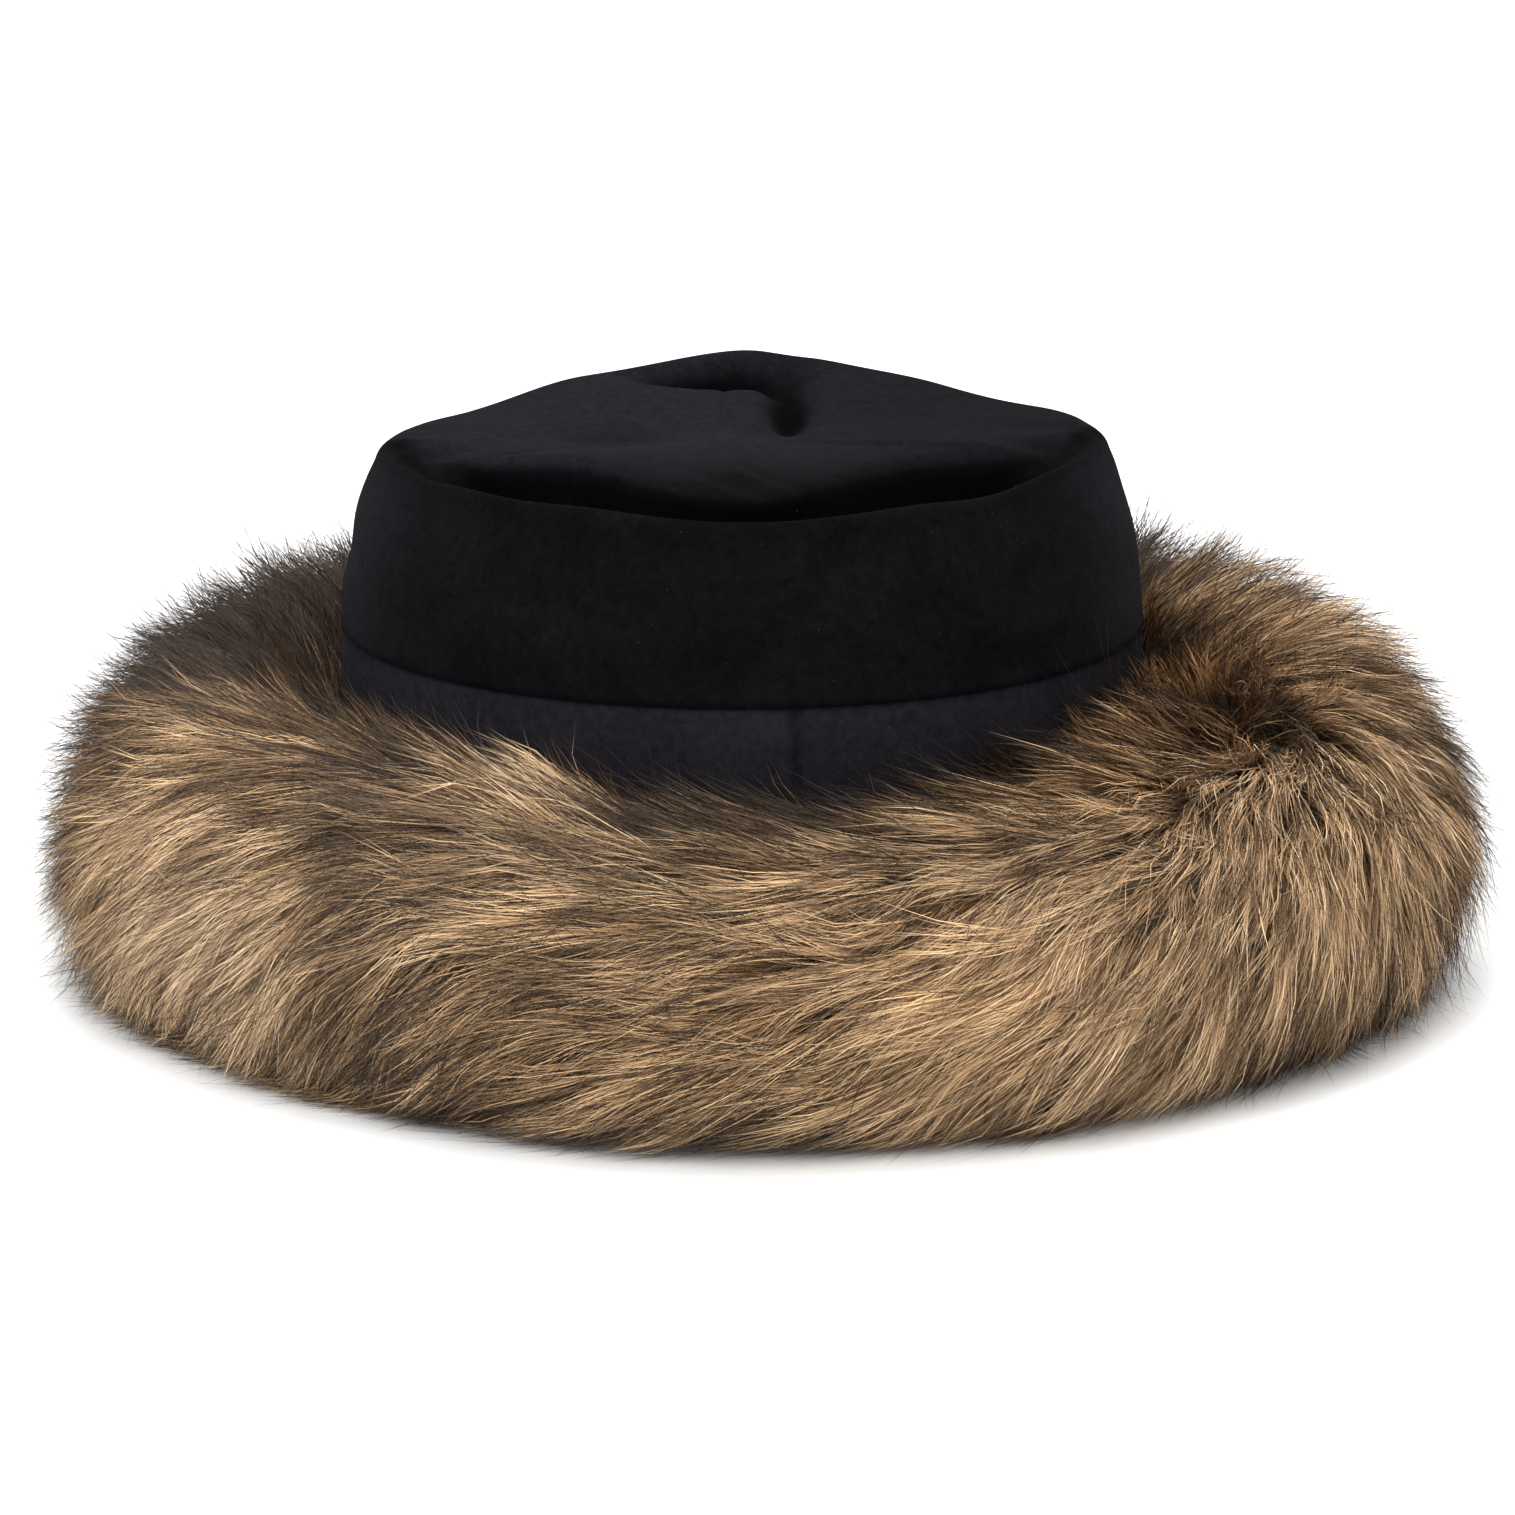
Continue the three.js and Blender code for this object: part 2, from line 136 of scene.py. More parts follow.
# A slight whorl: the radius of it and of its still middle, how many degrees the hairs turn off from pointing
# away from its middle, and how much it pulls them
WHORL = {"bearing": 53.0, "run": 0.45, "radius": 24.0, "eye": 12.0, "spiral": 70.0, "pull": 0.22}

# Places where the pile stands out: a round patch of that radius in millimetres, where the hairs are lighter
# or darker, lie higher or deeper, and are turned by so many degrees.
# Painted shade: the dark gap beside the tan tuft, the dark right hollow, the dark far left and the dark back
# left, and partly the dark front shoulder and the dark front at the band, under the crown.
PATCHES = {
    "tan tuft at the band": {"bearing": 344, "run": 0.12, "radius": 14, "tone": 0.8, "lift": 6, "turn": 10},
    "dark gap beside it": {"bearing": 328, "run": 0.24, "radius": 17, "tone": -0.45, "lift": -2, "turn": 0},
    "dark front shoulder": {"bearing": 3, "run": 0.3, "radius": 20, "tone": -0.35, "lift": -1, "turn": 0},
    "dark front at the band": {"bearing": 14, "run": 0.16, "radius": 16, "tone": -0.3, "lift": -1, "turn": 8},
    "front gold": {"bearing": 8, "run": 0.55, "radius": 40, "tone": 0.12, "lift": 1, "turn": 0},
    "right gold": {"bearing": 36, "run": 0.68, "radius": 42, "tone": 0.5, "lift": 1, "turn": 0},
    "low by the band": {"bearing": 37, "run": 0.05, "radius": 38, "tone": -0.08, "lift": -6, "turn": 0},
    "right tuft at the band": {"bearing": 58, "run": 0.08, "radius": 17, "tone": 0.35, "lift": 4, "turn": 0},
    "high right tuft": {"bearing": 78, "run": 0.1, "radius": 20, "tone": 0.6, "lift": 5, "turn": -20},
    "dark right hollow": {"bearing": 71, "run": 0.28, "radius": 13, "tone": -0.35, "lift": -1, "turn": 0},
    "dark right foot": {"bearing": 60, "run": 0.95, "radius": 22, "tone": -0.15, "lift": 0, "turn": 0},
    "left gold": {"bearing": 304, "run": 0.55, "radius": 46, "tone": 0.5, "lift": 2, "turn": 12},
    "left dark streak": {"bearing": 312, "run": 0.36, "radius": 15, "tone": -0.4, "lift": -2, "turn": 20},
    "left parting": {"bearing": 331, "run": 0.72, "radius": 14, "tone": -0.4, "lift": -3, "turn": 25},
    "left foot": {"bearing": 318, "run": 0.85, "radius": 24, "tone": 0.1, "lift": 0, "turn": 30},
    "dark far left": {"bearing": 262, "run": 0.3, "radius": 36, "tone": -0.4, "lift": 2, "turn": 0},
    "dark back left": {"bearing": 235, "run": 0.3, "radius": 40, "tone": -0.3, "lift": 2, "turn": 0},
    "gold far right": {"bearing": 68, "run": 0.56, "radius": 44, "tone": 0.42, "lift": 1, "turn": 0},
    "back right": {"bearing": 108, "run": 0.2, "radius": 38, "tone": 0.55, "lift": 2, "turn": 0},
}
# How far the hairs stand off the ring instead of bending over it, at the eight bearings of FUR_ROUND
STANDING = (0.08, 0.12, 0.28, 0.5, 0.55, 0.6, 0.5, 0.24)
OUTREACH = 8.5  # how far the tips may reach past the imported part
GROUND_DEPTH = 9.0  # how deep in the fur its backing lies
GROUND_FOOT = 0.4  # the backing's lowest level above the surface
SECTION_LENGTH = 140.0  # about how far it is over the fur from band to foot
ROUND_LENGTH = 135.0  # about how far it is round the fur for each radian
CLEARANCE = 0.6  # how far the hairs stay off the crown's lower edge

# Hairs. Each bends with the nearest guide hair: a guide is the middle of a lock.
GUIDES = 4600
GUIDE_LENGTH = 37.0
PILE_HAIRS = 31500  # in each quarter of the ring
GUARD_HAIRS = 39000
ROOTS = (-0.02, 0.93)  # the runs between which the pile is rooted
STATIONS = 5  # points along a guide hair
CORNERS = 4  # points along a hair of the pile
TAPER = (0.85, 1, 0.75, 0)  # a hair's width at each of them, as a share of its widest
WARMTHS = 5  # how many warmths of colour the hairs share

# spare: how many roots are drawn for each that is kept. clump: how far the tips gather to the guide. swing:
# how far they stray sideways, as a share of the ring. ruffle, proud and flick: how unevenly and how far they
# stand off, and how far the tips curl up, in millimetres. shortest: the shortest hair's share of its guide.
# half_width is in millimetres, and tone is how much lighter the hairs are than their guides.
PILE = {
    "spare": 4.7, "clump": 0.6, "swing": 0.024, "ruffle": 1.2, "proud": 0.0,
    "flick": 3.0, "shortest": 0.45, "half_width": 0.125, "tone": 0.0,
}
GUARD = {
    "spare": 1.3, "clump": 0.2, "swing": 0.085, "ruffle": 1.5, "proud": 2.5,
    "flick": 7.0, "shortest": 0.75, "half_width": 0.09, "tone": -0.8,
}

rng = np.random.default_rng(11)


# Curves and noise
def through(xs, ys, x):
    """A smooth curve through a table's points that never swings past them."""
    xs, ys, x = np.asarray(xs, float), np.asarray(ys, float), np.asarray(x, float)
    gaps, rises = np.diff(xs), np.diff(ys) / np.diff(xs)
    slopes = np.zeros(len(xs))
    slopes[0], slopes[-1] = rises[0], rises[-1]
    product = rises[:-1] * rises[1:]
    total = np.where(product > 0, rises[:-1] + rises[1:], 1)
    slopes[1:-1] = np.where(product > 0, 2 * product / total, 0)
    k = np.clip(np.searchsorted(xs, x, "right") - 1, 0, len(xs) - 2)
    t = (x - xs[k]) / gaps[k]
    bend = (1 - t) ** 2 * t * gaps[k] * slopes[k] - t**2 * (1 - t) * gaps[k] * slopes[k + 1]
    return ys[k] + (3 * t**2 - 2 * t**3) * (ys[k + 1] - ys[k]) + bend


def smoothstep(x, low, high):
    t = np.clip((x - low) / (high - low), 0, 1)
    return t * t * (3 - 2 * t)


def lerp(a, b, t):
    return a + (b - a) * t


def bearing_gap(turn, other):
    """How far turn is past the other one, in radians from -pi to pi."""
    return (turn - other + pi) % (2 * pi) - pi


def ripples(count, slowest, fastest):
    """Random waves for waving(): frequencies round the hat and across it, and a phase."""
    rounds = rng.integers(slowest, fastest, count) * rng.choice((-1, 1), count)
    return rounds, rng.uniform(slowest, fastest, count) * 0.8, rng.uniform(0, 2 * pi, count)


def waving(turn, run, waves):
    """Smooth noise from about -1 to 1 that closes on itself round the hat."""
    total = 0.0
    for rounds, across, phase in zip(*waves):
        total = total + np.sin(rounds * turn + across * run + phase)
    return total / len(waves[0]) ** 0.5 / 1.2


def on_oval(turn, half_width, half_depth, z):
    """Points on an oval round the hat's axis, from the front at turn 0 towards the right."""
    z = np.broadcast_to(z, np.shape(turn))
    return np.stack([half_width * np.sin(turn), -half_depth * np.cos(turn), z], -1)


def unit(vectors):
    return vectors / np.maximum(np.linalg.norm(vectors, axis=-1, keepdims=True), 1e-9)


# Meshes
def mesh_from(name, corners, faces, smooth=True):
    """A new object from corners in millimetres about the hat's axis, and faces of four or three corners."""
    mesh = bpy.data.meshes.new(name)
    places = (np.asarray(corners, float).reshape(-1, 3) + AXIS) * MM
    mesh.vertices.add(len(places))
    mesh.vertices.foreach_set("co", places.ravel())
    loops = np.concatenate([np.ravel(group) for group in faces])
    sizes = np.concatenate([np.full(len(group), np.shape(group)[1]) for group in faces])
    mesh.loops.add(len(loops))
    mesh.loops.foreach_set("vertex_index", loops.astype(np.int32))
    mesh.polygons.add(len(sizes))
    mesh.polygons.foreach_set("loop_start", (np.cumsum(sizes) - sizes).astype(np.int32))
    mesh.update(calc_edges=True)
    mesh.polygons.foreach_set("use_smooth", np.full(len(sizes), smooth))
    mesh.validate()
    piece = bpy.data.objects.new(name, mesh)
    bpy.context.scene.collection.objects.link(piece)
    return piece


def grid_faces(rows, columns):
    """The faces between rows of points that close on themselves, as they run upwards or inwards."""
    row, column = np.meshgrid(np.arange(rows - 1), np.arange(columns), indexing="ij")
    low = row * columns + column
    beside = row * columns + (column + 1) % columns
    return np.stack([low, beside, beside + columns, low + columns], -1).reshape(-1, 4)


def thicken(piece, thickness):
    """Gives a sheet its cloth's thickness on its inner side."""
    modifier = piece.modifiers.new("cloth", "SOLIDIFY")
    modifier.thickness = thickness * MM
    modifier.offset = -1
    modifier.use_even_offset = False
    return piece


def write_values(piece, name, values):
    attribute = piece.data.attributes.new(name, "FLOAT", "POINT")
    attribute.data.foreach_set("value", np.ravel(values).astype(np.float32))


# Crown
def fold_edge(turn):
    """The fold round the crown's top: bowed at the front, and higher at the back and the two corners."""
    side = np.abs(np.sin(turn))
    round_share = np.sqrt(np.maximum(1 - side**2, 0))
    front = lerp(1 - side**2.7, round_share, 0.12)
    back = lerp(1 - side**2, round_share, 0.3)
    forwards = np.cos(turn) > 0
    y = np.where(forwards, -FOLD_FRONT * front, FOLD_BACK * back)
    rise = np.where(forwards, 0, RIDGE_RISE * (1 - side**1.45))
    rise = rise + RIGHT_CORNER_RISE * smoothstep(np.sin(turn), 0.6, 1)
    rise = rise + LEFT_CORNER_RISE * smoothstep(-np.sin(turn), 0.8, 1)
    return np.stack([FOLD_HALF_WIDTH * np.sin(turn), y, FOLD_HEIGHT + rise], -1)


def crown_wall(turn, level):
    """The crown's wall at a level from 0 at its lower edge to 1 under the fold."""
    hem = HEM_DRAW * (1 - smoothstep(level[0], 0, 0.5))
    foot = on_oval(turn, FOOT_HALF_WIDTH - hem, FOOT_HALF_DEPTH - hem, CROWN_FOOT)
    fold = fold_edge(turn) - (0, 0, 0.8 * FOLD_ROLL)
    points = lerp(foot, fold, through(WALL["level"], WALL["draw"], level)[..., None])
    points[..., 2] = lerp(foot[..., 2], fold[..., 2], level)
    return points


def plateau_edge(turn):
    """The plateau's edge in x and y, and how deep the pocket between it and the fold is."""
    fold = fold_edge(turn)
    side = np.abs(np.sin(turn))
    forwards = np.cos(turn) > 0
    x = EDGE_DRAW * fold[..., 0]
    nose = np.exp(-(np.abs(x / NOSE_HALF_WIDTH) ** 2.4))
    forward = FOLD_FRONT - lerp(POCKET_REACH, CREASE_REACH, nose)
    y = np.where(forwards, -forward * smoothstep(1 - side, 0, 0.12), EDGE_DRAW * fold[..., 1])
    depth = lerp(POCKET_DEPTH, CREASE_DEPTH, nose) * smoothstep(1 - side, 0.04, 0.3)
    return np.stack([x, y], -1), np.where(forwards, depth, 0)


def top_details(x, y):
    """Low relief on the plateau, in millimetres: the seam, the soft ridge ahead of it and small crumples."""
    seam_starts = smoothstep(y, TOP_SEAM_FRONT - 3, TOP_SEAM_FRONT + 3)
    along_seam = seam_starts * smoothstep(-y, -TOP_SEAM_BACK, -TOP_SEAM_BACK + 6)
    seam = -SEAM_DEPTH * np.exp(-(((x - TOP_SEAM_X) / SEAM_HALF_WIDTH) ** 2)) * along_seam
    ahead = smoothstep(-y, -TOP_SEAM_FRONT, 6) * smoothstep(y, -62, -30)
    ridge = 1.1 * np.exp(-(((x - TOP_SEAM_X + 0.06 * y) / 5) ** 2)) * ahead
    crumple = 0.9 * np.sin(x * 0.55 + y * 0.35) * np.exp(-((x + 2) / 11) ** 2 - ((y + 52) / 9) ** 2)
    sag = 0.6 * np.sin(x * 0.09 + 1.1) * np.sin(y * 0.11 + 0.4)
    return seam + ridge + crumple + sag


def corner_pleats(x, y):
    """Small pleats that run in from the fold's two corners."""
    total = 0.0
    for side in (-1, 1):
        away = (FOLD_HALF_WIDTH - side * x) / 16
        fan = (y + 5) / (4 + 0.4 * (FOLD_HALF_WIDTH - side * x))
        total = total + 0.4 * np.cos(4.5 * fan + side) * np.exp(-((away - 0.55) ** 2) * 2.2 - fan**2 * 0.35)
    return total


def dent_shape(dent, x, y):
    """How deep in a dent a place is, from 0 to 1."""
    across = (x / FOLD_HALF_WIDTH - dent["across"]) / dent["half_width"]
    along = (y / FOLD_FRONT - dent["along"]) / dent["half_depth"]
    return np.exp(-(across**2) - along**2)


def top_painted_light(turn, inwards, x, y):
    """Painted light and shade on the top: painted shade over the fold, in the pockets, in the dents and
    towards the front and the right, and painted light on the plateau.
    """
    forwards = smoothstep(np.cos(turn), -0.1, 0.2)
    rolled = 0.3 + 0.6 * smoothstep(inwards, lerp(0, 0.45, forwards), lerp(0.5, 1, forwards))
    pocketed = smoothstep(1 - np.abs(np.sin(turn)), 0.05, 0.26) * forwards
    painted_light_and_tone = lerp(rolled, through(PAINTED_LIGHT["inwards"], PAINTED_LIGHT["light"], inwards), pocketed)
    # painted shade towards the plateau's front and its right side
    painted_light_and_tone = painted_light_and_tone * lerp(0.2, 1, smoothstep(y, -70, 2)) * lerp(1, 0.75, smoothstep(x, -20, 40))
    # painted shade in each dent, darker for a deeper one
    for dent in DENTS.values():
        shade = min(2 * dent["drop"], 0.92)
        painted_light_and_tone = painted_light_and_tone * (1 - shade * smoothstep(dent_shape(dent, x, y), 0.12, 0.65))
    return painted_light_and_tone


def crown_top(turn, inwards, ring):
    """The crown's top. inwards is 0 at the fold and 1 at the plateau's edge, and ring goes from 1 there to 0
    in the middle."""
    fold = fold_edge(turn)
    edge, depth = plateau_edge(turn)
    flat = ring[..., None] * lerp(fold[..., :2], edge, inwards[..., None])
    x, y = flat[..., 0], flat[..., 1]
    share = np.hypot(x, y) / np.hypot(fold[..., 0], fold[..., 1])
    z = lerp(FOLD_HEIGHT + PLATEAU_RISE, fold[..., 2], share**1.4)
    drop = np.where(inwards < 1, through(POCKET["inwards"], POCKET["drop"], inwards), 0)
    inside = smoothstep(1 - share, 0.01, 0.08)
    for dent in DENTS.values():
        z = z - inside * dent["drop"] * POCKET_DEPTH * dent_shape(dent, x, y)
    inwards_by = (1 - share) * np.hypot(fold[..., 0], fold[..., 1])
    rolled = np.clip(1 - inwards_by / FOLD_ROLL, 0, 1)
    z = z - FOLD_ROLL * (1 - np.sqrt(1 - 0.96 * rolled**2))
    return np.stack([x, y, z - depth * drop], -1)


def soften(rings, passes, held):
    """Eases creases over neighbouring points, apart from the first rings, which are held."""
    free = smoothstep(np.arange(len(rings)), held, held + 6)[:, None, None]
    for _ in range(passes):
        up = np.concatenate([rings[1:], rings[-1:]])
        down = np.concatenate([rings[:1], rings[:-1]])
        round_about = np.roll(rings, 1, 1) + np.roll(rings, -1, 1)
        rings = lerp(rings, 0.3 * (up + down) + 0.2 * round_about, 0.7 * free)
    return rings


def wall_rings(turns, levels):
    """Rings of points up the wall, with a little slack in the cloth."""
    rings = [crown_wall(turns, np.full(len(turns), level)) for level in levels]
    waves = ripples(9, 2, 9)
    for level, ring in zip(levels, rings):
        slack = 0.6 * sin(pi * level) * waving(turns, 2 * level, waves)
        ring += on_oval(turns, 1, 1, 0) * slack[:, None]
    return rings


def top_rings(turns, inwards, shares):
    """Rings of points in over the pockets to the plateau's edge, and then over the plateau."""
    ones = np.ones(len(turns))
    pocket = [crown_top(turns, inward * ones, ones) for inward in inwards]
    plateau = [crown_top(turns, ones, share * ones) for share in shares]
    return pocket + plateau


def wall_painted_light(turns, levels):
    """Painted light and shade on the wall: painted shade under the fold, and a painted sheen at the crown's
    two sides.
    """
    upwards = lerp(1, 0.8, smoothstep(levels, 0.8, 1))[:, None]
    towards_sides = lerp(1, 2.1, smoothstep(np.abs(np.sin(turns)), 0.8, 1))
    return WALL_PAINTED_LIGHT * upwards * towards_sides


def build_crown():
    """The velvet crown: wall, fold, pockets and plateau in one sewn cloth."""
    columns = 300
    turns = 2 * pi * np.arange(columns) / columns
    levels = 1 - (1 - np.linspace(0, 1, 27)) ** 1.3
    inwards = np.linspace(0, 1, 36)[1:] ** 1.5
    shares = np.linspace(1, 0.02, 26)[1:]
    rings = np.array(wall_rings(turns, levels) + top_rings(turns, inwards, shares))
    rings = soften(rings, passes=5, held=10)
    top = rings[len(levels) :]
    share = np.hypot(top[..., 0] / FOLD_HALF_WIDTH, top[..., 1] / FOLD_FRONT)
    relief = top_details(top[..., 0], top[..., 1]) + corner_pleats(top[..., 0], top[..., 1])
    top[..., 2] += relief * smoothstep(1 - share, 0.01, 0.08)
    apex = rings[-1:].mean(1)
    last = (len(rings) - 1) * columns
    fan = np.stack([last + np.arange(columns), last + (np.arange(columns) + 1) % columns], -1)
    fan = np.concatenate([fan, np.full((columns, 1), len(rings) * columns)], 1)
    corners = np.concatenate([rings.reshape(-1, 3), apex])
    piece = mesh_from("velvet_crown", corners, [grid_faces(len(rings), columns), fan])
    # painted light and shade over the wall, the top and its middle, stored for the velvet's colour
    on_wall = wall_painted_light(turns, levels)
    inwards = np.concatenate([inwards, np.ones(len(shares))])[:, None]
    on_top = top_painted_light(turns, inwards, top[..., 0], top[..., 1])
    on_top = lerp(on_wall[-1], on_top, smoothstep(inwards, 0.02, 0.3))
    at_apex = [0.8]
    write_values(piece, "painted_light_and_tone", np.concatenate([on_wall.ravel(), on_top.ravel(), at_apex]))
    return thicken(piece, CLOTH)


def build_band():
    """The velvet band between fur and crown, with its seam at the front."""
    columns = 600
    turns = 2 * pi * np.arange(columns) / columns
    first_seen = FUR_HEIGHT - 12
    heights = np.concatenate([[BAND_FOOT], np.linspace(first_seen, BAND_TOP, 9)])
    waves = ripples(8, 3, 14)
    seam_gap = (BAND_HALF_WIDTH * np.sin(turns) - BAND_SEAM_X) / SEAM_HALF_WIDTH
    seam = np.exp(-(seam_gap**2)) * (np.cos(turns) > 0)
    rings = []
    for height in heights:
        draw = BAND_DRAW * through((BAND_FOOT, FUR_HEIGHT, CROWN_FOOT, BAND_TOP), (0, 0, 1, 1.5), height)
        slack = 0.15 * waving(turns, height / 20, waves)
        inset = draw + SEAM_DEPTH * seam + slack + 0.15
        outline = on_oval(turns, BAND_HALF_WIDTH, BAND_HALF_DEPTH, height)
        rings.append(outline - on_oval(turns, 1, 1, 0) * inset[:, None])
    piece = mesh_from("velvet_band", np.array(rings), [grid_faces(len(rings), columns)])
    # the band's even level, darker along its front seam
    write_values(piece, "painted_light_and_tone", np.tile(0.62 - 0.3 * seam, len(rings)))
    return thicken(piece, CLOTH - 0.3)


# Fur
def section_curves():
    """The fur ring's cross-section: how far along it each point is, and the points, out and up as shares."""
    points = np.stack([FUR_SECTION["out"], FUR_SECTION["up"]], -1).astype(float)
    points = np.concatenate([points[:1], points, points[-1:]])
    samples = []
    for a, b, c, d in zip(points, points[1:], points[2:], points[3:]):
        t = np.linspace(0, 1, 40, endpoint=False)[:, None]
        squared, cubed = a - 2.5 * b + 2 * c - 0.5 * d, 3 * b - a - 3 * c + d
        samples.append(b + 0.5 * t * (c - a) + t**2 * squared + 0.5 * t**3 * cubed)
    curve = np.concatenate([*samples, points[-1:]])
    lengths = np.concatenate([[0], np.cumsum(np.linalg.norm(np.diff(curve, axis=0), axis=1))])
    return lengths / lengths[-1], curve


SECTION_AT, SECTION = section_curves()


def round_hat(turn, values):
    """A column of eight values round the hat, eased from one to the next."""
    values = np.asarray(values, float)
    place = (turn / (2 * pi)) % 1 * len(values)
    row = np.floor(place).astype(int) % len(values)
    return lerp(values[row], values[(row + 1) % len(values)], smoothstep(place - np.floor(place), 0, 1))


def fur_surface(turn, run):
    """The fur ring's surface. run is 0 at the band and 1 at the foot; below 0 it goes up the band, and
    above 1 out over the surface that the hat lies on."""
    inner = np.clip(run, 0, 1)
    out = np.interp(inner, SECTION_AT, SECTION[:, 0]) * round_hat(turn, FUR_ROUND["reach"])
    up = np.interp(inner, SECTION_AT, SECTION[:, 1]) * round_hat(turn, FUR_ROUND["height"]) * FUR_HEIGHT
    out = out + SECTION_LENGTH * (np.maximum(run - 1, 0) * 0.2 + np.minimum(run, 0) * -0.02)
    up = up + SECTION_LENGTH * np.maximum(-run, 0) * 0.9
    return on_oval(turn, FUR_INNER_WIDTH, FUR_INNER_DEPTH, up) + on_oval(turn, 1, 1, 0) * out[..., None]


def fur_frame(turn, run):
    """Points on the fur, the steps from there along turn and along run, and the outward normals."""
    step = 0.01
    points = fur_surface(turn, run)
    inner = np.clip(run, 0.02, 0.98)
    along_turn = (fur_surface(turn + step, inner) - fur_surface(turn - step, inner)) / (2 * step)
    along_run = (fur_surface(turn, inner + step) - fur_surface(turn, inner - step)) / (2 * step)
    return points, along_turn, along_run, unit(np.cross(along_run, along_turn))


def patch_sum(turn, run, column):
    """What the patches of pile add up to at each place, in one of their columns."""
    total = 0.0
    for patch in PATCHES.values():
        east = bearing_gap(turn, radians(patch["bearing"])) * ROUND_LENGTH
        south = (run - patch["run"]) * SECTION_LENGTH
        total = total + patch[column] * np.exp(-(east**2 + south**2) / patch["radius"] ** 2)
    return total


def pile_angle(turn, run, waves):
    """The way that the pile lies, in radians off straight outwards, with the whorl on the right."""
    sweeps = np.array([round_hat(turn, row) for row in PILE_SWEEPS])
    place = np.clip(np.interp(run, PILE_RUNS, range(len(PILE_RUNS))), 0, len(PILE_RUNS) - 1.001)
    row = place.astype(int)
    low = np.take_along_axis(sweeps, row[None], 0)[0]
    high = np.take_along_axis(sweeps, row[None] + 1, 0)[0]
    turned = lerp(low, high, place - row) + patch_sum(turn, run, "turn")
    angle = np.radians(turned) + radians(15) * waving(turn, 5 * run, waves)
    east = bearing_gap(turn, radians(WHORL["bearing"])) * SECTION_LENGTH
    south = (run - WHORL["run"]) * SECTION_LENGTH
    gap = east**2 + south**2
    pull = WHORL["pull"] * np.exp(-gap / WHORL["radius"] ** 2) * (1 - np.exp(-gap / WHORL["eye"] ** 2))
    away = np.arctan2(east, south) + radians(WHORL["spiral"])
    return np.arctan2(lerp(np.sin(angle), np.sin(away), pull), lerp(np.cos(angle), np.cos(away), pull))


def build_ground():
    """The fur's backing: a padded ring under the pile."""
    columns, steps = 180, 24
    turns = 2 * pi * np.arange(columns) / columns
    rings = []
    for run in np.linspace(0.0, 1, steps):
        points, _, _, normals = fur_frame(turns, np.full(columns, run))
        deeper_at_band = 4 * (1 - smoothstep(run, 0.1, 0.4))
        sunk = points - normals * (GROUND_DEPTH + deeper_at_band)
        least = on_oval(turns, FUR_INNER_WIDTH, FUR_INNER_DEPTH, 0)
        inside = np.linalg.norm(sunk[:, :2], axis=1) < np.linalg.norm(least[:, :2], axis=1)
        sunk[inside, :2] = least[inside, :2]
        sunk[:, 2] = np.maximum(sunk[:, 2], GROUND_FOOT)
        rings.append(sunk)
    rings.append(on_oval(turns, FUR_INNER_WIDTH, FUR_INNER_DEPTH, GROUND_FOOT))
    rings = np.array(rings)[::-1]
    closed = np.concatenate([rings, rings[:1]])
    return mesh_from("fur_backing", closed, [grid_faces(len(closed), columns)])


def scatter(count, lowest, highest):
    """Even random roots over the fur: arrays of turn and run. More are drawn than are kept."""
    drawn = 3 * count
    turn = rng.uniform(0, 2 * pi, drawn)
    run = rng.uniform(lowest, highest, drawn)
    _, along_turn, along_run, _ = fur_frame(turn, run)
    area = np.linalg.norm(np.cross(along_turn, along_run), axis=1)
    kept = rng.uniform(0, 1, drawn) < area / area.max()
    return turn[kept][:count], run[kept][:count]


def comb(turn, run, length, stray, waves, steps):
    """Lays hairs from their roots along the pile. Returns turn and run at each step."""
    turns, runs = [turn], [run]
    for step in range(steps):
        _, along_turn, along_run, _ = fur_frame(turns[-1], runs[-1])
        angle = pile_angle(turns[-1], runs[-1], waves) + stray * (0.4 + 1.2 * step / steps)
        travel = length / steps
        turns.append(turns[-1] + travel * np.sin(angle) / np.linalg.norm(along_turn, axis=1))
        runs.append(runs[-1] + travel * np.cos(angle) / np.linalg.norm(along_run, axis=1))
    return np.stack(turns, 1), np.stack(runs, 1)


def ribbons(name, spine, across, width, values):
    """One mesh of thin hairs. spine is hairs by stations by 3, across is the ribbons' sideways way, and
    width is the half width at each station, of which the last is the tip."""
    hairs, stations = spine.shape[:2]
    side = across * width[..., None]
    body = np.stack([spine - side, spine + side], 2)[:, :-1].reshape(hairs, -1, 3)
    corners = np.concatenate([body, spine[:, -1:]], 1)
    size = corners.shape[1]
    first = (np.arange(hairs) * size)[:, None]
    rung = 2 * np.arange(stations - 2)
    quads = first[..., None] + np.stack([rung, rung + 1, rung + 3, rung + 2], -1)[None]
    tips = first + np.array([[size - 3, size - 2, size - 1]])
    piece = mesh_from(name, corners, [quads.reshape(-1, 4), tips])
    along = np.linspace(0, 1, stations)
    at_corner = np.concatenate([np.repeat(along[:-1], 2), along[-1:]])
    write_values(piece, "along", np.tile(at_corner, hairs))
    for key, value in values.items():
        write_values(piece, key, np.repeat(value, size))
    lay_out_uv(piece, np.tile(at_corner, hairs), values, hairs, size)
    return piece


